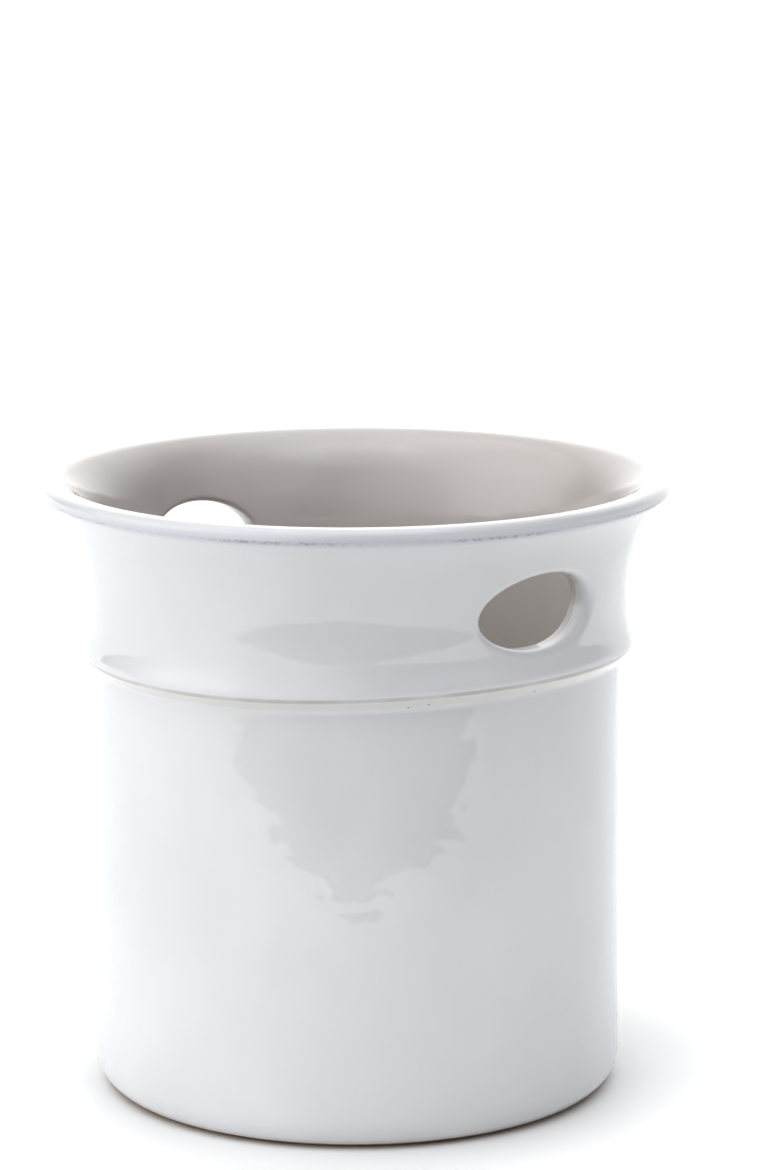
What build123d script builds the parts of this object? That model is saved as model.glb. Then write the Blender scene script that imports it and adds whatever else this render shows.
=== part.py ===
from build123d import *
import os

# Utensil crock in glazed stoneware, in millimetres.
# The origin is the centre of the foot, on the surface that the crock stands on, and +Z runs up its axis.
# The two hand-holes face +X and -X. Sizes are taken over the glaze, and depths are taken down from the crown.

# Whole crock
height = 181.0
body_diameter = 155.6
wall_thickness = 5.8

# Lip and mouth, and how far the rim stands out from the body
rim_stand_out = 14.2
lip_edge_depth = 3.9
lip_edge_rounding = 0.8
lip_nose_rounding = 2.3
lip_width = 5.8
mouth_rounding = 5.0

# Waisted neck: outside and inside, a gentle arc leaves the upright and turns into a tighter one,
# after this share of the way out from the waist to the rim, and from the bore to the mouth
waist_stand_out = 1.95
waist_depth = 37.0
flare_turn_share = 0.31
flare_turn_depth = 15.9
bore_flare_depth = 38.0
bore_turn_share = 0.359
bore_turn_depth = 10.3

# Swollen band under the neck: its edge before rounding, under the waist and out from the body, and its crease
band_drop = 12.2
band_stand_out = 4.3
band_rounding = 3.2
crease_drop = 4.3
crease_rounding = 3.0

# Base, foot ring and floor
base_rounding = 8.5
foot_width = 15.8
foot_recess = 2.6
foot_bevel = 1.0
floor_thickness = 7.0
floor_rounding = 9.0

# Hand-holes, one on each side of the neck
hole_width = 39.6
hole_height = 22.6
hole_depth = 29.3
hole_outer_rounding = 3.0
hole_inner_rounding = 1.5

# Glaze: its coat, the clay left bare at the foot, and how deep in the wall the inside and outside coats meet
glaze_thickness = 0.5
glaze_line_height = 1.4
glaze_seam = 3.0

# Under the glaze an outer rounding smaller than this is left as a plain corner
least_rounding = 0.5

# How far a cutting solid runs past what it cuts
overrun = 10.0

body_radius = body_diameter / 2
rim_radius = body_radius + rim_stand_out
bore_radius = body_radius - wall_thickness
mouth_radius = rim_radius - lip_width
waist_radius = body_radius + waist_stand_out
flare_turn_radius = waist_radius + flare_turn_share * (rim_radius - waist_radius)
bore_turn_radius = bore_radius + bore_turn_share * (mouth_radius - bore_radius)
band_radius = body_radius + band_stand_out
foot_bore_radius = body_radius - foot_width
band_depth = waist_depth + band_drop
crease_depth = band_depth + crease_drop
floor_height = foot_recess + floor_thickness

# Directions in the section, whose X is the radius and whose Y is the height
OUT = Vector(1, 0)
IN = Vector(-1, 0)
UP = Vector(0, 1)
DOWN = Vector(0, -1)


def flared(low, turn, high):
    """The two arcs of a flare: a gentle one that leaves low upright, and a tighter one from the turn to high."""
    gentle = TangentArc(low, turn, tangent=UP)
    tight = TangentArc(turn, high, tangent=gentle % 1)
    return gentle, tight


def moved_in(corner, before, after, inset):
    """Where a corner of the outline goes when the outline, run with the clay on its left, moves into the clay."""
    from_before = Vector(-before.Y, before.X)
    from_after = Vector(-after.Y, after.X)
    return corner + (from_before + from_after) * (inset / (1 + from_before.dot(from_after)))


def outline_corners(inset):
    """The section's corners by name, for a surface that lies inset under the glaze."""
    crease = Vector(body_radius, height - crease_depth)
    band = Vector(band_radius, height - band_depth)
    waist = Vector(waist_radius, height - waist_depth)
    lip_edge = Vector(rim_radius, height - lip_edge_depth)
    mouth = Vector(mouth_radius, height)
    bore_top = Vector(bore_radius, height - bore_flare_depth)
    under_band = (band - crease).normalized()
    over_band = (TangentArc(waist, band, tangent=DOWN) % 1) * -1
    flare_turn = Vector(flare_turn_radius, height - flare_turn_depth)
    bore_turn = Vector(bore_turn_radius, height - bore_turn_depth)
    gentle, tight = flared(waist, flare_turn, lip_edge)
    bore_gentle, bore_tight = flared(bore_top, bore_turn, mouth)
    paths = {
        "recess": (Vector(foot_bore_radius, foot_recess), OUT, DOWN),
        "foot_inside": (Vector(foot_bore_radius, 0), DOWN, OUT),
        "base": (Vector(body_radius, 0), OUT, UP),
        "crease": (crease, UP, under_band),
        "band": (band, under_band, over_band),
        "waist": (waist, UP, UP),
        "flare_turn": (flare_turn, gentle % 1, gentle % 1),
        "lip_edge": (lip_edge, tight % 1, UP),
        "lip_nose": (Vector(rim_radius, height), UP, IN),
        "mouth": (mouth, IN, (bore_tight % 1) * -1),
        "bore_turn": (bore_turn, (bore_gentle % 1) * -1, (bore_gentle % 1) * -1),
        "bore_top": (bore_top, DOWN, DOWN),
        "floor": (Vector(bore_radius, floor_height), DOWN, IN),
    }
    return {name: moved_in(*path, inset) for name, path in paths.items()}


def bore_outline(at):
    """Line from the mouth down the inside to the axis over the floor."""
    gentle, tight = flared(at["bore_top"], at["bore_turn"], at["mouth"])
    return tight + gentle + Polyline(at["bore_top"], at["floor"], (0, at["floor"].Y))


def nearest_corner(section, place):
    """The section's corner that lies nearest to a place."""
    return section.vertices().sort_by_distance(place)[0]


def crock_section(inset):
    """Half section of the crock for a surface that lies inset under the glaze."""
    at = outline_corners(inset)
    foot = Polyline((0, at["recess"].Y), at["recess"], at["foot_inside"], at["base"], at["crease"], at["band"])
    swell = TangentArc(at["waist"], at["band"], tangent=DOWN)
    gentle, tight = flared(at["waist"], at["flare_turn"], at["lip_edge"])
    lip = Polyline(at["lip_edge"], at["lip_nose"], at["mouth"])
    axis = Line((0, at["floor"].Y), (0, at["recess"].Y))
    section = make_face(foot + swell + gentle + tight + lip + bore_outline(at) + axis)
    section = chamfer(nearest_corner(section, at["foot_inside"]), foot_bevel - inset)
    outer_roundings = {
        "base": base_rounding,
        "band": band_rounding,
        "lip_edge": lip_edge_rounding,
        "lip_nose": lip_nose_rounding,
        "mouth": mouth_rounding,
    }
    inner_roundings = {"crease": crease_rounding, "floor": floor_rounding}
    for name, rounding in outer_roundings.items():
        if rounding - inset > least_rounding:
            section = fillet(nearest_corner(section, at[name]), rounding - inset)
    for name, rounding in inner_roundings.items():
        section = fillet(nearest_corner(section, at[name]), rounding + inset)
    return section


def thrown(section):
    """The solid of a half section turned once about the axis, with its seam at +Y, between the hand-holes."""
    return revolve(Plane.YZ * section, Axis.Z)


def hole_edges(solid, inset, outside):
    """The edges that the hand-holes leave on the outside of the wall, or on its inside."""
    inner_wall = liner_reach()
    near = solid.edges().filter_by(
        lambda edge: abs(edge.center().Y) < hole_width / 2 + inset
        and abs(edge.center().Z - (height - hole_depth)) < hole_height / 2 + inset
    )
    return [edge for edge in near if inner_wall.is_inside(edge.center()) != outside]


def crock_solid(inset):
    """The whole crock with its hand-holes cut and eased, for a surface that lies inset under the glaze."""
    oval = Ellipse(hole_width / 2 + inset, hole_height / 2 + inset)
    both_holes = extrude(Plane.YZ * Pos(0, height - hole_depth) * oval, rim_radius + overrun, both=True)
    crock = thrown(crock_section(inset)) - both_holes
    inside = hole_edges(crock, inset, False)
    crock = fillet(hole_edges(crock, inset, True), hole_outer_rounding - inset)
    inside = [edge for edge in hole_edges(crock, inset, False) if any(edge.is_same(old) for old in inside)]
    return fillet(inside, hole_inner_rounding - inset)


def ring(outer_radius, inner_radius, high):
    """A plain ring about the axis, from the ground up."""
    return extrude(Circle(outer_radius) - Circle(inner_radius), high)


def liner_reach():
    """Solid that takes in the hollow of the crock and its liner glaze, and ends inside the clay wall."""
    at = outline_corners(glaze_seam)
    over = height + overrun
    lid = Polyline(at["mouth"], (at["mouth"].X, over), (0, over), (0, at["floor"].Y))
    return thrown(make_face(bore_outline(at) + lid))


def underside_reach():
    """Solid that takes in the recess inside the foot ring and its glaze."""
    return extrude(Circle(foot_bore_radius + glaze_thickness), foot_recess + glaze_seam)


glazed = crock_solid(0)
bare_foot = glazed & ring(rim_radius, foot_bore_radius, glaze_line_height)
body = crock_solid(glaze_thickness) + bare_foot
coats = glazed - body

nodes = {
    "stoneware_body": body,
    "outer_glaze": coats - liner_reach() - underside_reach(),
    "liner_glaze": coats & liner_reach(),
    "underside_glaze": coats & underside_reach(),
}
os.makedirs("parts", exist_ok=True)
for name, shape in nodes.items():
    export_step(shape, f"parts/{name}.step")
    print(name, len(shape.solids()), "solid", round(shape.volume), "cubic millimetres")
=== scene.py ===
import math

import bpy
import numpy as np
from mathutils import Matrix, Vector


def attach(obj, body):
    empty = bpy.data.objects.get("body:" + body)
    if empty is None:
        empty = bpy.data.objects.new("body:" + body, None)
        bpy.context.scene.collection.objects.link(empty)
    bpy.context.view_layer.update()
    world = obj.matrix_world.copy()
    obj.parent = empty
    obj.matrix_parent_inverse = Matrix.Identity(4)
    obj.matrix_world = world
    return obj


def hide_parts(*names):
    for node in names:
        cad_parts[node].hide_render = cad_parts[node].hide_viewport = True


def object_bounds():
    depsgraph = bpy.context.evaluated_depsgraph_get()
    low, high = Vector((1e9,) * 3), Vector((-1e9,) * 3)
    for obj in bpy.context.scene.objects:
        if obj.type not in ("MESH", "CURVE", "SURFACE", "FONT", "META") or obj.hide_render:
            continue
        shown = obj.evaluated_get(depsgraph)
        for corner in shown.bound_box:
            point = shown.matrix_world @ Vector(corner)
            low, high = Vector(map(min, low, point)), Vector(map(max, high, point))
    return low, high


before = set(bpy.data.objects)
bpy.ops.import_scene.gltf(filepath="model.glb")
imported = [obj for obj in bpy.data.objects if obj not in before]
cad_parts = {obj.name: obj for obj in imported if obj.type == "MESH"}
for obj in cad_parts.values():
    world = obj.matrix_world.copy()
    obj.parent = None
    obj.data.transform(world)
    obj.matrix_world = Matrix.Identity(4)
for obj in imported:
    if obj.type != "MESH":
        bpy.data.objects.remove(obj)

# Utensil crock in glazed stoneware: its looks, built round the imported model.
# Everything is in metres in the model's frame, with the foot on Z = 0 and the hand-holes facing +X and -X.

MM = 0.001
cad_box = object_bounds()
HEIGHT = cad_box[1].z
RIM_RADIUS = max(cad_box[1].x, cad_box[1].y)

# The outline's driving sizes, as in the part: radii and depths under the crown
BODY_RADIUS = 77.8 * MM
BORE_RADIUS = 72.0 * MM
LIP_EDGE_DEPTH = 3.9 * MM
LIP_EDGE_ROUNDING = 0.8 * MM
LIP_NOSE_ROUNDING = 2.3 * MM
MOUTH_RADIUS = 86.2 * MM
MOUTH_ROUNDING = 5.0 * MM
WAIST_RADIUS = 79.75 * MM
WAIST_DEPTH = 37.0 * MM
FLARE_TURN_RADIUS = 83.55 * MM
FLARE_TURN_DEPTH = 15.9 * MM
BORE_FLARE_DEPTH = 38.0 * MM
BORE_TURN_RADIUS = 77.1 * MM
BORE_TURN_DEPTH = 10.3 * MM
BAND_RADIUS = 82.1 * MM
BAND_DEPTH = 49.2 * MM
BAND_ROUNDING = 3.2 * MM
CREASE_DEPTH = 53.5 * MM
CREASE_ROUNDING = 3.0 * MM
BASE_ROUNDING = 8.5 * MM
FLOOR_HEIGHT = 9.6 * MM
FLOOR_ROUNDING = 9.0 * MM
FOOT_BORE_RADIUS = 62.0 * MM
FOOT_RECESS = 2.6 * MM
FOOT_BEVEL = 1.0 * MM
HOLE_HALF_WIDTH = 19.8 * MM
HOLE_HALF_HEIGHT = 11.3 * MM
HOLE_DEPTH = 29.3 * MM
HOLE_OUTER_ROUNDING = 3.0 * MM
HOLE_INNER_ROUNDING = 1.5 * MM
GLAZE = 0.5 * MM
GLAZE_LINE = 1.4 * MM

# Headings of the outline, whose X is the radius and whose Y is the height
UP, DOWN = math.pi / 2, -math.pi / 2

# A stretch that bends less than this is a line
STRAIGHT = 1e-9
# Steps of the search for where a rounding starts and ends
EASING_STEPS = 8


class Stretch:
    """A line or an arc of the outline, by where it starts, its heading there, its length and how sharply it bends."""

    def __init__(self, start, heading, length, bend=0.0):
        self.start, self.heading, self.length, self.bend = np.array(start, float), heading, length, bend

    def at(self, along):
        """The point (radius, height) and the heading at a distance along it."""
        heading = self.heading + self.bend * along
        if abs(self.bend) < STRAIGHT:
            return self.start + along * np.array([math.cos(heading), math.sin(heading)]), heading
        turned = np.array([math.sin(heading) - math.sin(self.heading), math.cos(self.heading) - math.cos(heading)])
        return self.start + turned / self.bend, heading

    def end(self):
        return self.at(self.length)


def line(start, end):
    run = np.subtract(end, start)
    return Stretch(start, math.atan2(run[1], run[0]), math.hypot(*run))


def arc(start, heading, end):
    """The arc that leaves start on a heading and ends at end."""
    run = np.subtract(end, start)
    half_turn = math.remainder(math.atan2(run[1], run[0]) - heading, 2 * math.pi)
    length = math.hypot(*run) * half_turn / math.sin(half_turn)
    return Stretch(start, heading, length, 2 * half_turn / length)


def reversed_stretch(stretch):
    end, heading = stretch.end()
    return Stretch(end, heading + math.pi, stretch.length, -stretch.bend)


def eased(before, after, rounding):
    """Two stretches that meet in a corner, cut back, with the arc of a rounding between them."""
    turn = math.remainder(after.heading - before.end()[1], 2 * math.pi)
    side = math.copysign(rounding, turn)
    back = ahead = rounding * math.tan(abs(turn) / 2)
    for _ in range(EASING_STEPS):
        points, headings = zip(before.at(before.length - back), after.at(ahead))
        centres = [p + side * np.array([-math.sin(h), math.cos(h)]) for p, h in zip(points, headings)]
        runs = np.array([[math.cos(h), math.sin(h)] for h in headings]).T * [1, -1]
        step = np.linalg.solve(runs, centres[1] - centres[0])
        back -= step[0] / (1 - side * before.bend)
        ahead += step[1] / (1 - side * after.bend)
    start, heading = before.at(before.length - back)
    turn = math.remainder(after.at(ahead)[1] - heading, 2 * math.pi)
    kept_before = Stretch(before.start, before.heading, before.length - back, before.bend)
    kept_after = Stretch(*after.at(ahead), after.length - ahead, after.bend)
    return kept_before, Stretch(start, heading, abs(turn) * rounding, turn / (abs(turn) * rounding)), kept_after


def rounded_outline(stretches, roundings):
    """A run of stretches with each corner eased. roundings has one radius per corner, or 0 where they already flow."""
    outline = [stretches[0]]
    for stretch, rounding in zip(stretches[1:], roundings):
        if rounding:
            outline[-1:] = eased(outline[-1], stretch, rounding)
        else:
            outline.append(stretch)
    return outline


def below(depth):
    """The height of a place that is given by its depth under the crown."""
    return HEIGHT - depth


def glazed_outline():
    """The glaze's surface in section: from the foot ring up the outside, over the lip and down to the axis."""
    base = (BODY_RADIUS, 0)
    crease = (BODY_RADIUS, below(CREASE_DEPTH))
    band = (BAND_RADIUS, below(BAND_DEPTH))
    waist = (WAIST_RADIUS, below(WAIST_DEPTH))
    flare_turn = (FLARE_TURN_RADIUS, below(FLARE_TURN_DEPTH))
    lip_edge = (RIM_RADIUS, below(LIP_EDGE_DEPTH))
    bore_top = (BORE_RADIUS, below(BORE_FLARE_DEPTH))
    bore_turn = (BORE_TURN_RADIUS, below(BORE_TURN_DEPTH))
    floor = (BORE_RADIUS, FLOOR_HEIGHT)
    swell = reversed_stretch(arc(waist, DOWN, band))
    gentle = arc(waist, UP, flare_turn)
    tight = arc(flare_turn, gentle.end()[1], lip_edge)
    bore_gentle = arc(bore_top, UP, bore_turn)
    bore_tight = arc(bore_turn, bore_gentle.end()[1], (MOUTH_RADIUS, HEIGHT))
    stretches = [
        line((FOOT_BORE_RADIUS, 0), base),
        line(base, crease),
        line(crease, band),
        swell,
        gentle,
        tight,
        line(lip_edge, (RIM_RADIUS, HEIGHT)),
        line((RIM_RADIUS, HEIGHT), (MOUTH_RADIUS, HEIGHT)),
        reversed_stretch(bore_tight),
        reversed_stretch(bore_gentle),
        line(bore_top, floor),
        line(floor, (0, FLOOR_HEIGHT)),
    ]
    roundings = [
        BASE_ROUNDING, CREASE_ROUNDING, BAND_ROUNDING, 0, 0,
        LIP_EDGE_ROUNDING, LIP_NOSE_ROUNDING, MOUTH_ROUNDING, 0, 0, FLOOR_ROUNDING,
    ]
    return rounded_outline(stretches, roundings)


# How finely the meshes are cut
COLUMNS = 288
LONGEST_STEP = 3.6 * MM
SHARPEST_STEP = math.radians(9)
TRACE_STEP = 0.05 * MM
GLAZE_LINE_STEPS = 7
SHARP_EDGE = math.radians(50)

# The block of columns and rows round each hand-hole that its rings fill
BLOCK_COLUMNS = 34
BLOCK_ROWS = 20
BLOCK_LOW = 134.0 * MM
BLOCK_HIGH = 169.5 * MM
WALL_RINGS = 7
OUTER_ROUNDING_RINGS = 8
TUNNEL_RINGS = 4
INNER_ROUNDING_RINGS = 6

HOLE_HEIGHT = below(HOLE_DEPTH)


class Trace:
    """The outline followed in small steps, so that its places can be looked up by distance or by height."""

    def __init__(self, outline):
        self.starts = np.cumsum([0] + [stretch.length for stretch in outline])
        rows = []
        for stretch, start in zip(outline, self.starts):
            for along in np.linspace(0, stretch.length, max(3, int(stretch.length / TRACE_STEP)), endpoint=False):
                point, heading = stretch.at(along)
                rows.append((start + along, *point, heading))
        point, heading = outline[-1].end()
        rows.append((self.starts[-1], *point, heading))
        self.along, self.radius, self.height, heading = np.array(rows).T
        self.heading = np.unwrap(heading)

    def place(self, along):
        """Radius and height at a distance along the outline."""
        return np.interp(along, self.along, self.radius), np.interp(along, self.along, self.height)

    def inset(self, depth):
        """Radius and height of the outline moved depth into the clay."""
        return self.radius - depth * np.sin(self.heading), self.height + depth * np.cos(self.heading)

    def at_height(self, height, low, high):
        """Distance along the outline where it is at a height, between two distances along it."""
        part = (self.along >= low) & (self.along <= high)
        order = np.argsort(self.height[part])
        return float(np.interp(height, self.height[part][order], self.along[part][order]))


outline = glazed_outline()
trace = Trace(outline)
# Where the outline's forms end, as distances along it. The unnamed ends aren't asked for.
(FOOT_END, BASE_END, _, _, _, BAND_END, _, _, LIP_EDGE_START, _, _, _, CROWN_END,
 MOUTH_END, _, _, BORE_END, _, _) = trace.starts[1:]


def around(angle, radius, height):
    """Points of the crock from angles about its axis, radii and heights."""
    return np.stack(np.broadcast_arrays(radius * np.cos(angle), radius * np.sin(angle), height), axis=-1)


def ball_in_corner(low, high, rounding, spins):
    """Where a ball of the hole's rounding lies as it rolls round a hand-hole, and where it touches the wall.

    It touches the wall along the outline between low and high. spins are angles round the hole.
    Returns the ball's centres, where it touches the wall as angle and distance along the outline, and where it
    touches the hole.
    """
    across, up = HOLE_HALF_WIDTH * np.cos(spins), HOLE_HALF_HEIGHT * np.sin(spins)
    slope = np.stack([np.cos(spins) * HOLE_HALF_HEIGHT, np.sin(spins) * HOLE_HALF_WIDTH])
    slope /= np.linalg.norm(slope, axis=0)
    centre_y, centre_z = across + rounding * slope[0], HOLE_HEIGHT + up + rounding * slope[1]
    part = (trace.along >= low) & (trace.along <= high)
    radius, height = (values[part] for values in trace.inset(rounding))
    order = np.argsort(height)
    radius_there = np.interp(centre_z, height[order], radius[order])
    along = np.interp(centre_z, height[order], trace.along[part][order])
    centre_x = np.sqrt(radius_there ** 2 - centre_y ** 2)
    centres = np.stack([centre_x, centre_y, centre_z], axis=-1)
    on_hole = np.stack([centre_x, across, HOLE_HEIGHT + up], axis=-1)
    return centres, np.arctan2(centre_y, centre_x), along, on_hole


def swung(centres, first, last, steps):
    """Rings of points that swing about the centres from first to last, without the two ends."""
    a, b = first - centres, last - centres
    reach = np.linalg.norm(a, axis=1, keepdims=True)
    bend = np.arccos(np.clip((a * b).sum(1, keepdims=True) / reach ** 2, -1, 1))
    shares = np.linspace(0, 1, steps + 1)[1:-1]
    return [centres + (np.sin((1 - t) * bend) * a + np.sin(t * bend) * b) / np.sin(bend) for t in shares]


class Skin:
    """The crock's glazed skin as one mesh of quads, with which coat each face belongs to."""

    def __init__(self):
        self.points = []
        self.faces = []
        self.coats = []

    def add(self, points):
        first = sum(len(block) for block in self.points)
        self.points.append(np.asarray(points))
        return first + np.arange(len(points))

    def strip(self, ring, after, coat):
        """Faces between two rings of corners with the same count."""
        for i in range(len(ring)):
            j = (i + 1) % len(ring)
            self.faces.append((ring[i], ring[j], after[j], after[i]))
            self.coats.append(coat)


def row_places():
    """Distances along the outline for the skin's rows, and the first and last row of each hand-hole's block."""
    glaze_line = trace.at_height(GLAZE_LINE, FOOT_END, BASE_END)
    blocks = [
        (trace.at_height(BLOCK_LOW, BAND_END, LIP_EDGE_START), trace.at_height(BLOCK_HIGH, BAND_END, LIP_EDGE_START)),
        (trace.at_height(BLOCK_HIGH, MOUTH_END, BORE_END), trace.at_height(BLOCK_LOW, MOUTH_END, BORE_END)),
    ]
    places = []
    for stretch, start in zip(outline, trace.starts):
        turn = abs(stretch.bend) * stretch.length
        steps = math.ceil(max(stretch.length / LONGEST_STEP, turn / SHARPEST_STEP))
        places += list(np.linspace(start, start + stretch.length, steps, endpoint=False))
    near = LONGEST_STEP / 3
    places = [p for p in places if p > glaze_line + near and not any(a - near < p < b + near for a, b in blocks)]
    places += [glaze_line] + [p for block in blocks for p in np.linspace(*block, BLOCK_ROWS + 1)]
    places = sorted(places)
    return np.array(places), [(places.index(a), places.index(b)) for a, b in blocks]


def block_loop(grid, first, last, middle):
    """The corners round a hand-hole's block, from its lower edge and turning anticlockwise as seen from outside."""
    left, right = middle - BLOCK_COLUMNS // 2, middle + BLOCK_COLUMNS // 2
    low, high = (first, last) if first < last else (last, first)
    columns, rows = np.arange(left, right), np.arange(low, high)
    if first > last:
        rows = np.arange(high, low, -1)
        low, high = high, low
    loop = [(low, c) for c in columns] + [(r, right) for r in rows]
    loop += [(high, c) for c in columns[::-1] + 1] + [(r, left) for r in rows[::-1] + (1 if first < last else -1)]
    return np.array([grid[r, c % COLUMNS] for r, c in loop])


def glazed_skin():
    """The glaze's whole surface, from the glaze line at the foot to the middle of the floor."""
    skin = Skin()
    places, blocks = row_places()
    radius, height = trace.place(places)
    columns = np.arange(COLUMNS) * 2 * math.pi / COLUMNS
    grid = np.array([skin.add(around(columns, r, z)) for r, z in zip(radius, height)])
    inside_block = np.zeros(grid.shape, bool)
    half = BLOCK_COLUMNS // 2
    middles = (0, COLUMNS // 2)
    for first, last in blocks:
        for middle in middles:
            inside_block[np.ix_(range(first, last), [c % COLUMNS for c in range(middle - half, middle + half)])] = True
    for row in range(len(grid) - 1):
        coat = "outer" if places[row + 1] < CROWN_END + TRACE_STEP else "liner"
        for column in np.flatnonzero(~inside_block[row]):
            after = (column + 1) % COLUMNS
            skin.faces.append((grid[row, column], grid[row, after], grid[row + 1, after], grid[row + 1, column]))
            skin.coats.append(coat)
    centre = skin.add([(0, 0, FLOOR_HEIGHT)])[0]
    for column in range(COLUMNS):
        skin.faces.append((grid[-1, column], grid[-1, (column + 1) % COLUMNS], centre))
        skin.coats.append("liner")
    for middle in middles:
        add_hand_hole(skin, grid, places, blocks, middle)
    return skin, grid[0]


def add_hand_hole(skin, grid, places, blocks, middle):
    """The rings from the outside wall, over the eased rim and through the hole, to the inside wall."""
    facing = 2 * math.pi * middle / COLUMNS
    (outer_first, outer_last), (inner_first, inner_last) = blocks
    outer_loop = block_loop(grid, outer_first, outer_last, middle)
    inner_loop = block_loop(grid, inner_last, inner_first, middle)
    half_turn = BLOCK_COLUMNS / 2 * 2 * math.pi / COLUMNS
    steps = np.linspace(-half_turn, half_turn, BLOCK_COLUMNS + 1)

    def loop_places(first, last):
        ends = places[first], places[last]
        rows = np.linspace(*ends, BLOCK_ROWS + 1)
        low = [(a, ends[0]) for a in steps[:-1]] + [(steps[-1], s) for s in rows[:-1]]
        return np.array(low + [(a, ends[1]) for a in steps[:0:-1]] + [(steps[0], s) for s in rows[:0:-1]])

    outer_places, inner_places = loop_places(outer_first, outer_last), loop_places(inner_last, inner_first)
    loop_radius, loop_height = trace.place(outer_places[:, 1])
    spins = np.arctan2(
        (loop_height - HOLE_HEIGHT) / HOLE_HALF_HEIGHT, loop_radius * outer_places[:, 0] / HOLE_HALF_WIDTH
    )

    def turned(points):
        flipped = np.array([math.cos(facing), math.cos(facing), 1])
        return skin.add(points * flipped)

    def wall_rings(loop, angles, along):
        """Rings between a block's edge and where the rounding starts, without either."""
        rings = []
        for t in np.linspace(0, 1, WALL_RINGS + 1)[1:-1]:
            angle = loop[:, 0] * (1 - t) + angles * t
            rings.append(around(angle, *trace.place(loop[:, 1] * (1 - t) + along * t)))
        return rings

    outer = ball_in_corner(BAND_END, LIP_EDGE_START, HOLE_OUTER_ROUNDING, spins)
    inner = ball_in_corner(MOUTH_END, BORE_END, HOLE_INNER_ROUNDING, spins)
    on_outside = around(outer[1], *trace.place(outer[2]))
    on_inside = around(inner[1], *trace.place(inner[2]))
    tunnel = [outer[3] * (1 - t) + inner[3] * t for t in np.linspace(0, 1, TUNNEL_RINGS + 1)]
    outer_rings = wall_rings(outer_places, outer[1], outer[2]) + [on_outside]
    outer_rings += swung(outer[0], on_outside, outer[3], OUTER_ROUNDING_RINGS) + tunnel[: TUNNEL_RINGS // 2 + 1]
    inner_rings = tunnel[TUNNEL_RINGS // 2 + 1:] + swung(inner[0], inner[3], on_inside, INNER_ROUNDING_RINGS)
    inner_rings += [on_inside] + wall_rings(inner_places, inner[1], inner[2])[::-1]
    last = outer_loop
    for number, ring in enumerate(outer_rings + inner_rings):
        ring = turned(ring)
        skin.strip(last, ring, "outer" if number < len(outer_rings) else "liner")
        last = ring
    skin.strip(last, inner_loop, "liner")


# How the hand-made crock departs from a true turned form. Angles run to the right from the photograph's viewpoint.
PICTURE_AZIMUTH = math.radians(49.3)
BAND_WAVER = 1.1 * MM
BAND_WAVER_REACH = 12 * MM
WALL_WAVES = ((2, 0.20 * MM, 0.4), (3, 0.10 * MM, 2.1), (5, 0.05 * MM, 4.0))


def as_thrown(points):
    """The points as the hand left them: the band wavers twice round, and the wall is a little out of round."""
    points = np.array(points, float)
    x, y, z = points.T
    angle = np.arctan2(y, x)
    near_band = np.exp(-(((z - below(BAND_DEPTH)) / BAND_WAVER_REACH) ** 2))
    waver = BAND_WAVER * np.sin(2 * (angle - PICTURE_AZIMUTH + math.pi / 2)) * near_band
    wave = sum(size * np.cos(count * angle + start + z / HEIGHT) for count, size, start in WALL_WAVES)
    swell = 1 + wave * np.clip(z / HEIGHT, 0, 1) / BODY_RADIUS
    return np.stack([x * swell, y * swell, z + waver], axis=-1)


def point_normals(points, faces):
    """Each point's normal, from the faces round it weighed by their area."""
    normals = np.zeros_like(points)
    for count in (3, 4):
        corners = np.array([face for face in faces if len(face) == count])
        if not len(corners):
            continue
        across = points[corners[:, 2]] - points[corners[:, 0]]
        other = points[corners[:, -1]] - points[corners[:, 1]]
        facing = np.cross(across, other)
        for corner in corners.T:
            np.add.at(normals, corner, facing)
    return normals / np.linalg.norm(normals, axis=1, keepdims=True)


def new_piece(name, points, true_points, faces, node, finish):
    """A smooth mesh that stands for a node of the part, hides that node and takes its finish.

    Each point also keeps its place on the true turned form, which the finishes measure from.
    """
    used, corners = np.unique(np.concatenate([np.asarray(face) for face in faces]), return_inverse=True)
    ends = np.cumsum([len(face) for face in faces])
    mesh = bpy.data.meshes.new(name)
    mesh.from_pydata(points[used].tolist(), [], [c.tolist() for c in np.split(corners, ends[:-1])])
    mesh.shade_smooth()
    mesh.set_sharp_from_angle(angle=SHARP_EDGE)
    mesh.attributes.new("true_place", "FLOAT_VECTOR", "POINT").data.foreach_set("vector", true_points[used].ravel())
    mesh.materials.append(finish)
    piece = bpy.data.objects.new(name, mesh)
    bpy.context.scene.collection.objects.link(piece)
    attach(piece, "root")
    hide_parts(node)


def closed_coat(faces, shift):
    """The faces of a coat with its back, which lies shift further in the list of points, and the edge between."""
    sides = {side for face in faces for side in zip(face, face[1:] + face[:1])}
    edges = [(b, a, a + shift, b + shift) for a, b in sorted(sides) if (b, a) not in sides]
    backs = [tuple(corner + shift for corner in face[::-1]) for face in faces]
    return list(faces) + backs + edges


def add_rings(skin, section, rings_before=(), rings_after=()):
    """Faces turned from a list of (radius, height), which may start and end on the axis, and rings at either end."""
    columns = np.arange(COLUMNS) * 2 * math.pi / COLUMNS
    rings = [skin.add(around(columns, r, z)) if r else skin.add([(0, 0, z)]) for r, z in section]
    rings = [*rings_before, *rings, *rings_after]
    faces = []
    for ring, after in zip(rings, rings[1:]):
        for i in range(COLUMNS):
            j = (i + 1) % COLUMNS
            if len(ring) == 1:
                faces.append((ring[0], after[j], after[i]))
            elif len(after) == 1:
                faces.append((ring[i], ring[j], after[0]))
            else:
                faces.append((ring[i], ring[j], after[j], after[i]))
    return faces


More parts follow.
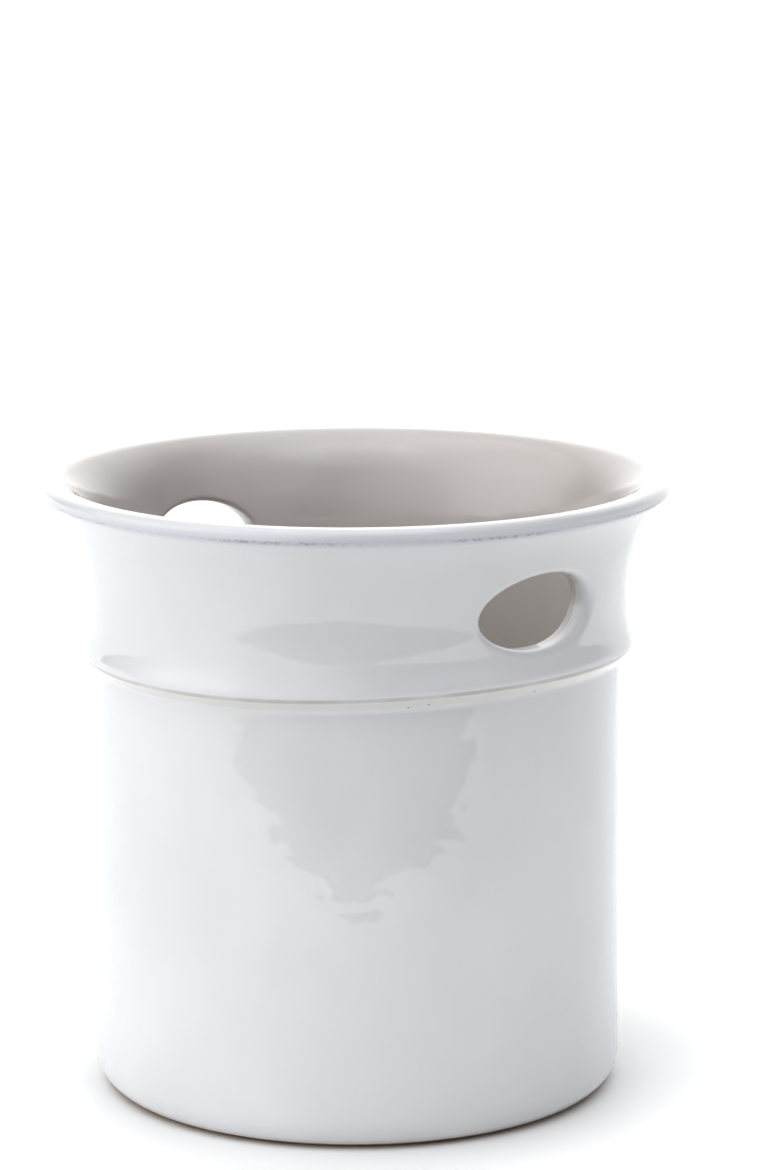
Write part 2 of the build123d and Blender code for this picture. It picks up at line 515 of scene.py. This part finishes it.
def foot_section():
    """The bare clay in section, from the axis over the recess, round the foot ring and up to the glaze line."""
    glaze_line = trace.at_height(GLAZE_LINE, FOOT_END, BASE_END)
    outer_corner = [trace.place(s) for s in np.linspace(FOOT_END, glaze_line, GLAZE_LINE_STEPS)[:-1]]
    return [
        (0, FOOT_RECESS + GLAZE),
        (FOOT_BORE_RADIUS + GLAZE, FOOT_RECESS + GLAZE),
        (FOOT_BORE_RADIUS + GLAZE, GLAZE_LINE),
        (FOOT_BORE_RADIUS, GLAZE_LINE),
        (FOOT_BORE_RADIUS, FOOT_BEVEL),
        (FOOT_BORE_RADIUS + FOOT_BEVEL, 0),
        *outer_corner,
    ]


def underside_section():
    """The underside's glaze in section: its face, from its line inside the foot ring to the axis, and its back."""
    face_high = FOOT_RECESS
    back_high = FOOT_RECESS + GLAZE
    return [
        (0, face_high),
        (FOOT_BORE_RADIUS, face_high),
        (FOOT_BORE_RADIUS, GLAZE_LINE),
        (FOOT_BORE_RADIUS + GLAZE, GLAZE_LINE),
        (FOOT_BORE_RADIUS + GLAZE, back_high),
        (0, back_high),
    ]


def linear(code):
    """The linear colour of an sRGB hex value."""
    parts = [int(code[i:i + 2], 16) / 255 for i in (1, 3, 5)]
    return tuple(p / 12.92 if p <= 0.04045 else ((p + 0.055) / 1.055) ** 2.4 for p in parts) + (1.0,)


def add(tree, kind, inputs, output=0, **settings):
    """A node with its settings, whose inputs, by number or name, take values or other nodes' outputs.

    Returns the one of its outputs that is asked for.
    """
    node = tree.nodes.new(kind)
    for name, value in settings.items():
        setattr(node, name, value)
    for name, value in inputs.items() if isinstance(inputs, dict) else enumerate(inputs):
        if isinstance(value, bpy.types.NodeSocket):
            tree.links.new(value, node.inputs[name])
        else:
            node.inputs[name].default_value = value
    return node.outputs[output]


# The sockets of a Mix node that mixes colours, by number, because its sockets for numbers have the same names
MIX_SHARE, MIX_UNDER, MIX_OVER, MIX_RESULT = 0, 6, 7, 2


def painted(tree, colour, layers):
    """A colour with layers of other colours over it, each with the share of it that shows."""
    colour = linear(colour)
    for share, over in layers:
        sockets = {MIX_SHARE: share, MIX_UNDER: colour, MIX_OVER: linear(over)}
        colour = add(tree, "ShaderNodeMix", sockets, MIX_RESULT, data_type="RGBA")
    return colour


def raised(tree, reliefs):
    """The normal of a surface with reliefs, each a height from 0 to 1 and the metres that it stands for."""
    normal = add(tree, "ShaderNodeNewGeometry", (), "Normal")
    for height, metres in reliefs:
        normal = add(tree, "ShaderNodeBump", {"Height": height, "Distance": metres, "Normal": normal})
    return normal


def away_from_ring(tree, place, radius, height):
    """Distance of a place from a circle about the crock's axis."""
    flat = add(tree, "ShaderNodeVectorMath", (place, (1, 1, 0)), operation="MULTIPLY")
    out = add(tree, "ShaderNodeVectorMath", (flat,), "Value", operation="LENGTH")
    up = add(tree, "ShaderNodeSeparateXYZ", (place,), "Z")
    beside = add(tree, "ShaderNodeMath", (out, radius), operation="SUBTRACT")
    over = add(tree, "ShaderNodeMath", (up, height), operation="SUBTRACT")
    offset = add(tree, "ShaderNodeCombineXYZ", (beside, over))
    return add(tree, "ShaderNodeVectorMath", (offset,), "Value", operation="LENGTH")


def new_finish(name):
    """A material with its tree and its shader, and the place on the true form, which every finish here starts from."""
    finish = bpy.data.materials.new(name)
    finish.use_nodes = True
    tree = finish.node_tree
    place = add(tree, "ShaderNodeAttribute", (), "Vector", attribute_name="true_place")
    return finish, tree, tree.nodes["Principled BSDF"], place


# A Map Range node takes a value, the two ends of its range and what comes out at each of them. With these settings
# it runs from one to the other without corners.
SMOOTH = {"interpolation_type": "SMOOTHSTEP"}

# The glaze's patterns: how far apart their features lie, and which draw of the freckles' patches is used
COAT_CLOUDS = 45 * MM
LINE_STRETCHES = 25 * MM
FRECKLES = 1.2 * MM
FRECKLE_PATCHES = 28 * MM
PINHOLE_CELLS = 4 * MM
GLOSS_CLOUDS = 20 * MM
ROLLS = 22 * MM
RIPPLES = 8 * MM
PATCH_DRAW = 1.7

# How deep its reliefs are
ROLL_DEPTH = 0.35 * MM
RIPPLE_DEPTH = 0.13 * MM
PIT_DEPTH = 0.15 * MM

# Circles about the crock's axis, as radius and height, that its pooled strip and its lines of thin glaze and painted
# shade run along
POOLED_CIRCLE = (BODY_RADIUS + 1.5 * MM, below(CREASE_DEPTH) + 2 * MM)
BAND_EDGE_CIRCLE = (BAND_RADIUS - 0.7 * MM, below(BAND_DEPTH) - 0.7 * MM)
LIP_EDGE_CIRCLE = (RIM_RADIUS - 0.2 * MM, below(LIP_EDGE_DEPTH) - 0.1 * MM)

# Its colours where it isn't plain, and how strongly it bends light
POOLED_COLOUR = "#D2D0CA"
THIN_AND_SHADED_BAND_EDGE_COLOUR = "#8F8578"
THIN_ON_LIP_COLOUR = "#7E6E72"
LIP_FACE_SHADE_AND_THIN_COLOUR = "#C2C0CF"
PINHOLE_COLOUR = "#6E6258"
GLAZE_IOR = 1.52


def white_glaze(name, thin_colour, thick_colour):
    """Zircon-white gloss glaze on stoneware, dipped and fired at cone 6.

    Dipping leaves a coat that breaks thin and freckled over the lip's lower edge, where the clay's iron shows
    through, and pools thick and creamy in the crease under the band, where a few bubbles burst to pinholes.
    """
    finish, tree, shader, place = new_finish(name)

    # Slow clouds of coat thickness 45 mm across, as hands and dip lines leave
    clouds = add(tree, "ShaderNodeTexNoise", {"Vector": place, "Scale": 1 / COAT_CLOUDS})
    clouds = add(tree, "ShaderNodeMapRange", (clouds, 0.35, 0.65, 0.0, 0.6), **SMOOTH)

    # Pooled glaze in a strip about 3 mm wide under the band, thicker and creamier
    crease = away_from_ring(tree, place, *POOLED_CIRCLE)
    pooled = add(tree, "ShaderNodeMapRange", (crease, 1.0 * MM, 2.4 * MM, 0.5, 0.0), **SMOOTH)

    # Thin glaze and painted shade under the band's overhang, in a soft dark line stronger in stretches about 25 mm
    # long
    line_place = away_from_ring(tree, place, *BAND_EDGE_CIRCLE)
    line_depth = add(tree, "ShaderNodeMapRange", (line_place, 0.3 * MM, 1.1 * MM, 0.45, 0.0), **SMOOTH)
    stretches = add(tree, "ShaderNodeTexNoise", {"Vector": place, "Scale": 1 / LINE_STRETCHES})
    stretches = add(tree, "ShaderNodeMapRange", (stretches, 0.38, 0.60, 0.5, 1.0), **SMOOTH)
    band_thin_and_shade_line = add(tree, "ShaderNodeMath", (line_depth, stretches), operation="MULTIPLY")

    # Thin glaze on the lip's lower edge too, in freckles about 1 mm across that gather in patches
    lip_place = away_from_ring(tree, place, *LIP_EDGE_CIRCLE)
    lip_depth = add(tree, "ShaderNodeMapRange", (lip_place, 0.25 * MM, 0.9 * MM, 0.8, 0.0), **SMOOTH)
    freckles = add(tree, "ShaderNodeTexNoise", {"Vector": place, "Scale": 1 / FRECKLES, "Detail": 3.0})
    freckles = add(tree, "ShaderNodeMapRange", (freckles, 0.42, 0.62, 0.3, 1.0), **SMOOTH)
    patch_inputs = {"Vector": place, "W": PATCH_DRAW, "Scale": 1 / FRECKLE_PATCHES}
    patches = add(tree, "ShaderNodeTexNoise", patch_inputs, noise_dimensions="4D")
    patches = add(tree, "ShaderNodeMapRange", (patches, 0.40, 0.58, 0.2, 0.85), **SMOOTH)
    lip_line = add(tree, "ShaderNodeMath", (lip_depth, freckles), operation="MULTIPLY")
    lip_line = add(tree, "ShaderNodeMath", (lip_line, patches), operation="MULTIPLY")
    # The lip's face, painted a darker lavender grey towards its lower edge: painted shade, with the lavender of the
    # thinning glaze
    lip_face_shade_and_thinning = add(tree, "ShaderNodeMapRange", (lip_place, 0.6 * MM, 2.6 * MM, 0.4, 0.0), **SMOOTH)

    # Pinholes 0.6 mm across in the crease, a few in each hand's width
    cells = add(tree, "ShaderNodeTexVoronoi", {"Vector": place, "Scale": 1 / PINHOLE_CELLS})
    draw = add(tree, "ShaderNodeSeparateXYZ", (cells.node.outputs["Color"],))
    chosen = add(tree, "ShaderNodeMapRange", (draw, 0.55, 0.57, 0.0, 1.0))
    spots = add(tree, "ShaderNodeMapRange", (cells, 0.04, 0.10, 1.0, 0.0), **SMOOTH)
    near = add(tree, "ShaderNodeMapRange", (crease, 1.5 * MM, 2.5 * MM, 0.7, 0.0), **SMOOTH)
    pinholes = add(tree, "ShaderNodeMath", (chosen, spots), operation="MULTIPLY")
    pinholes = add(tree, "ShaderNodeMath", (pinholes, near), operation="MULTIPLY")

    colour = painted(tree, thin_colour, [
        (clouds, thick_colour),
        (pooled, POOLED_COLOUR),
        # painted shade under the band's overhang, with thin glaze
        (band_thin_and_shade_line, THIN_AND_SHADED_BAND_EDGE_COLOUR),
        (lip_line, THIN_ON_LIP_COLOUR),
        (lip_face_shade_and_thinning, LIP_FACE_SHADE_AND_THIN_COLOUR),
        (pinholes, PINHOLE_COLOUR),
    ])
    tree.links.new(colour, shader.inputs["Base Color"])

    # Fired gloss: sharp reflections, bent by a surface that rolls by about a tenth of a millimetre
    gloss = add(tree, "ShaderNodeTexNoise", {"Vector": place, "Scale": 1 / GLOSS_CLOUDS})
    gloss = add(tree, "ShaderNodeMapRange", (gloss, 0.3, 0.7, 0.01, 0.03), **SMOOTH)
    tree.links.new(gloss, shader.inputs["Roughness"])
    shader.inputs["IOR"].default_value = GLAZE_IOR
    rolls = add(tree, "ShaderNodeTexNoise", {"Vector": place, "Scale": 1 / ROLLS, "Detail": 0.0})
    ripples = add(tree, "ShaderNodeTexNoise", {"Vector": place, "Scale": 1 / RIPPLES, "Detail": 1.0})
    pits = add(tree, "ShaderNodeMath", (1.0, pinholes), operation="SUBTRACT")
    relief = raised(tree, [(rolls, ROLL_DEPTH), (ripples, RIPPLE_DEPTH), (pits, PIT_DEPTH)])
    tree.links.new(relief, shader.inputs["Normal"])
    return finish


# The bare clay's patterns and their relief, its colours and how it takes light
TOAST_PATCHES = 12 * MM
CLAY_GRAIN = 0.8 * MM
GRAIN_DEPTH = 0.1 * MM
CLAY_COLOUR = "#A98B6C"
TOASTED_COLOUR = "#8F6F52"
IRON_SPECK_COLOUR = "#4E3A2B"
CLAY_ROUGHNESS = 0.85
CLAY_IOR = 1.5


def bare_clay():
    """Buff stoneware clay, thrown and fired to cone 6, left bare where the crock stands on its foot.

    Fired clay is matt and close-grained, toasted darker than its body and freckled with iron and fine sand.
    """
    finish, tree, shader, place = new_finish("bare_clay")
    toast = add(tree, "ShaderNodeTexNoise", {"Vector": place, "Scale": 1 / TOAST_PATCHES})
    toast = add(tree, "ShaderNodeMapRange", (toast, 0.35, 0.65, 0.0, 0.6), **SMOOTH)
    grain = add(tree, "ShaderNodeTexNoise", {"Vector": place, "Scale": 1 / CLAY_GRAIN, "Detail": 3.0})
    specks = add(tree, "ShaderNodeMapRange", (grain, 0.60, 0.68, 0.0, 0.7), **SMOOTH)
    colour = painted(tree, CLAY_COLOUR, [(toast, TOASTED_COLOUR), (specks, IRON_SPECK_COLOUR)])
    tree.links.new(colour, shader.inputs["Base Color"])
    shader.inputs["Roughness"].default_value = CLAY_ROUGHNESS
    shader.inputs["IOR"].default_value = CLAY_IOR
    tree.links.new(raised(tree, [(grain, GRAIN_DEPTH)]), shader.inputs["Normal"])
    return finish


# The table top has a dim bay on the camera's side, a dark patch painted only for the crock's reflections and bounce
# light, which starts this far in front of the crock's axis and reaches this far to each side
BAY_AHEAD = 0.35
BAY_HALF_WIDTH = 0.42
# Lamps under the top light it from this far from the crock's axis, and in full from this far on, to this radiance
LAMPS_FROM, LAMPS_FULL = 0.06, 0.15
TABLE_GLOW = 0.25
TOP_COLOUR = "#F0F0EF"
DARK_REFLECTION_BAY_COLOUR = "#3E4044"
TOP_ROUGHNESS = 0.7
WHITE = "#FFFFFF"


def table_top():
    """Opal acrylic table top, lit from below round the crock as for a pack shot.

    The crock's gloss mirrors the top as a bright lower part, and the dim bay in front of it as a darker patch.
    The camera sees a plain pale top all the way.
    """
    finish = bpy.data.materials.new("table_top")
    finish.use_nodes = True
    tree, shader = finish.node_tree, finish.node_tree.nodes["Principled BSDF"]
    position = add(tree, "ShaderNodeNewGeometry", (), "Position")
    back = (-math.sin(PICTURE_AZIMUTH), math.cos(PICTURE_AZIMUTH), 0)
    right = (math.cos(PICTURE_AZIMUTH), math.sin(PICTURE_AZIMUTH), 0)
    behind = add(tree, "ShaderNodeVectorMath", (position, back), "Value", operation="DOT_PRODUCT")
    beside = add(tree, "ShaderNodeVectorMath", (position, right), "Value", operation="DOT_PRODUCT")
    beside = add(tree, "ShaderNodeMath", (beside,), operation="ABSOLUTE")
    top = add(tree, "ShaderNodeMath", (behind, -BAY_AHEAD), operation="GREATER_THAN")
    side = add(tree, "ShaderNodeMath", (beside, BAY_HALF_WIDTH), operation="GREATER_THAN")
    # Camera rays see the bay pale, so its painted dark reflection and painted shade reach the crock only
    seen = add(tree, "ShaderNodeLightPath", (), "Is Camera Ray")
    top = add(tree, "ShaderNodeMath", (top, side), operation="MAXIMUM")
    top = add(tree, "ShaderNodeMath", (top, seen), operation="MAXIMUM")
    tree.links.new(painted(tree, DARK_REFLECTION_BAY_COLOUR, [(top, TOP_COLOUR)]), shader.inputs["Base Color"])
    shader.inputs["Roughness"].default_value = TOP_ROUGHNESS
    shader.inputs["Emission Color"].default_value = linear(WHITE)
    out = add(tree, "ShaderNodeVectorMath", (position,), "Value", operation="LENGTH")
    glow = add(tree, "ShaderNodeMapRange", (out, LAMPS_FROM, LAMPS_FULL, 0.0, TABLE_GLOW), **SMOOTH)
    glow = add(tree, "ShaderNodeMath", (top, glow), operation="MULTIPLY")
    tree.links.new(glow, shader.inputs["Emission Strength"])
    return finish


# Soft lights of the studio: name, degrees to the right of the photograph's viewpoint, degrees above the floor,
# degrees from its middle to where it starts to fade and to where it has gone, radiance in its middle, and colour
LIGHTS = (
    ("left_window", -80, 2, 0, 50, 0.5, WHITE),
    ("left_fill", -52, 11, 0, 60, 1.25, WHITE),
    ("left_box", -80, 40, 34, 42, 0.6, WHITE),
    ("front_box", 5, 60, 12, 30, 0.95, "#EEF1FF"),
    ("back_sweep", 168, 14, 0, 65, 1.6, WHITE),
    ("right_box", 50, 38, 10, 38, 0.65, WHITE),
    ("right_card", 75, 8, 0, 45, 0.28, WHITE),
    ("overhead", 0, 90, 0, 45, 1.35, WHITE),
    ("room", 0, 90, 0, 180, 0.08, "#F2F4FA"),
)
# Gamma of the picture, which deepens its middle tones
CONTRAST = 0.78


def studio_world():
    """The lights as soft round patches of one surrounding sky."""
    scene = bpy.context.scene
    scene.view_settings.view_transform = "Standard"
    scene.view_settings.gamma = CONTRAST
    world = bpy.data.worlds.new("studio")
    scene.world = world
    world.use_nodes = True
    tree = world.node_tree
    direction = add(tree, "ShaderNodeTexCoord", (), "Generated")
    total = (0, 0, 0)
    for name, azimuth, elevation, core, reach, radiance, colour in LIGHTS:
        turn = PICTURE_AZIMUTH + math.radians(azimuth) - math.pi / 2
        rise = math.radians(elevation)
        towards = (math.cos(rise) * math.cos(turn), math.cos(rise) * math.sin(turn), math.sin(rise))
        facing = add(tree, "ShaderNodeVectorMath", (direction, towards), "Value", operation="DOT_PRODUCT", label=name)
        faded, full = math.cos(math.radians(reach)), math.cos(math.radians(core))
        glow = add(tree, "ShaderNodeMapRange", (facing, faded, full, 0.0, radiance), **SMOOTH)
        light = add(tree, "ShaderNodeVectorMath", {0: linear(colour)[:3], "Scale": glow}, operation="SCALE")
        total = add(tree, "ShaderNodeVectorMath", (light, total))
    background = tree.nodes["Background"]
    tree.links.new(total, background.inputs["Color"])
    background.inputs["Strength"].default_value = 1.0


# Half the floor's width, in metres
FLOOR_REACH = 10.0


def pale_floor():
    """A pale floor large enough to fill the picture behind the crock."""
    corners = [(-FLOOR_REACH, -FLOOR_REACH, 0), (FLOOR_REACH, -FLOOR_REACH, 0),
               (FLOOR_REACH, FLOOR_REACH, 0), (-FLOOR_REACH, FLOOR_REACH, 0)]
    mesh = bpy.data.meshes.new("floor")
    mesh.from_pydata(corners, [], [(0, 1, 2, 3)])
    mesh.materials.append(table_top())
    floor = bpy.data.objects.new("floor", mesh)
    bpy.context.scene.collection.objects.link(floor)


# The photograph's viewpoint, in metres from the crock's axis and the surface it stands on
CAMERA_DISTANCE = 1.2
CAMERA_HEIGHT = 0.3818
CAMERA_PITCH = math.radians(11.025)
CAMERA_YAW = math.radians(0.477)
CAMERA_ROLL = math.radians(0.165)
# The focal length over the picture's long side
FOCAL_SHARE = 4168 / 1170


def studio_camera():
    """The camera, whose focal length is given as a share of the picture's long side."""
    camera = bpy.data.objects.new("camera", bpy.data.cameras.new("camera"))
    bpy.context.scene.collection.objects.link(camera)
    bpy.context.scene.camera = camera
    camera.data.lens = camera.data.sensor_width * FOCAL_SHARE
    up = Vector((0, 0, 1))
    ahead = Vector((-math.sin(PICTURE_AZIMUTH), math.cos(PICTURE_AZIMUTH), 0))
    location = up * CAMERA_HEIGHT - ahead * CAMERA_DISTANCE
    right = ahead.cross(up)
    turned = ahead * math.cos(CAMERA_YAW) + right * math.sin(CAMERA_YAW)
    right = right * math.cos(CAMERA_YAW) - ahead * math.sin(CAMERA_YAW)
    look = turned * math.cos(CAMERA_PITCH) - up * math.sin(CAMERA_PITCH)
    top = up * math.cos(CAMERA_PITCH) + turned * math.sin(CAMERA_PITCH)
    side = right * math.cos(CAMERA_ROLL) - top * math.sin(CAMERA_ROLL)
    top = top * math.cos(CAMERA_ROLL) + right * math.sin(CAMERA_ROLL)
    camera.matrix_world = Matrix.Translation(location) @ Matrix((side, top, -look)).transposed().to_4x4()


# The finishes: inside, the same glaze is painted a darker, warmer grey, as painted shade in the hollow and painted
# warm light thrown back by wooden utensils
outside_glaze = white_glaze("outside_glaze", thin_colour="#DADBDD", thick_colour="#D5D5D4")
shaded_inside_glaze = white_glaze("shaded_inside_glaze", thin_colour="#CDC9C5", thick_colour="#C7C2BE")
clay = bare_clay()

# The skin's points come twice, for the face of the glaze and its back, and then those of the foot and the underside
skin, glaze_line_ring = glazed_skin()
shift = sum(len(block) for block in skin.points)
skin.add(np.concatenate(skin.points))
clay_faces = [tuple(corner + shift for corner in face) for face in skin.faces]
clay_faces += add_rings(skin, foot_section(), rings_after=(glaze_line_ring, glaze_line_ring + shift))
underside_faces = add_rings(skin, underside_section())
true_points = np.concatenate(skin.points)
points = as_thrown(true_points)
points[shift:2 * shift] -= GLAZE * point_normals(points[:shift], skin.faces)

for coat, glaze in (("outer", outside_glaze), ("liner", shaded_inside_glaze)):
    coat_faces = [face for face, its_coat in zip(skin.faces, skin.coats) if its_coat == coat]
    name = coat + "_glaze"
    new_piece(coat + "_coat", points, true_points, closed_coat(coat_faces, shift), name, glaze)
new_piece("underside_coat", points, true_points, underside_faces, "underside_glaze", outside_glaze)
new_piece("thrown_body", points, true_points, clay_faces, "stoneware_body", clay)

# The studio
studio_world()
pale_floor()
studio_camera()
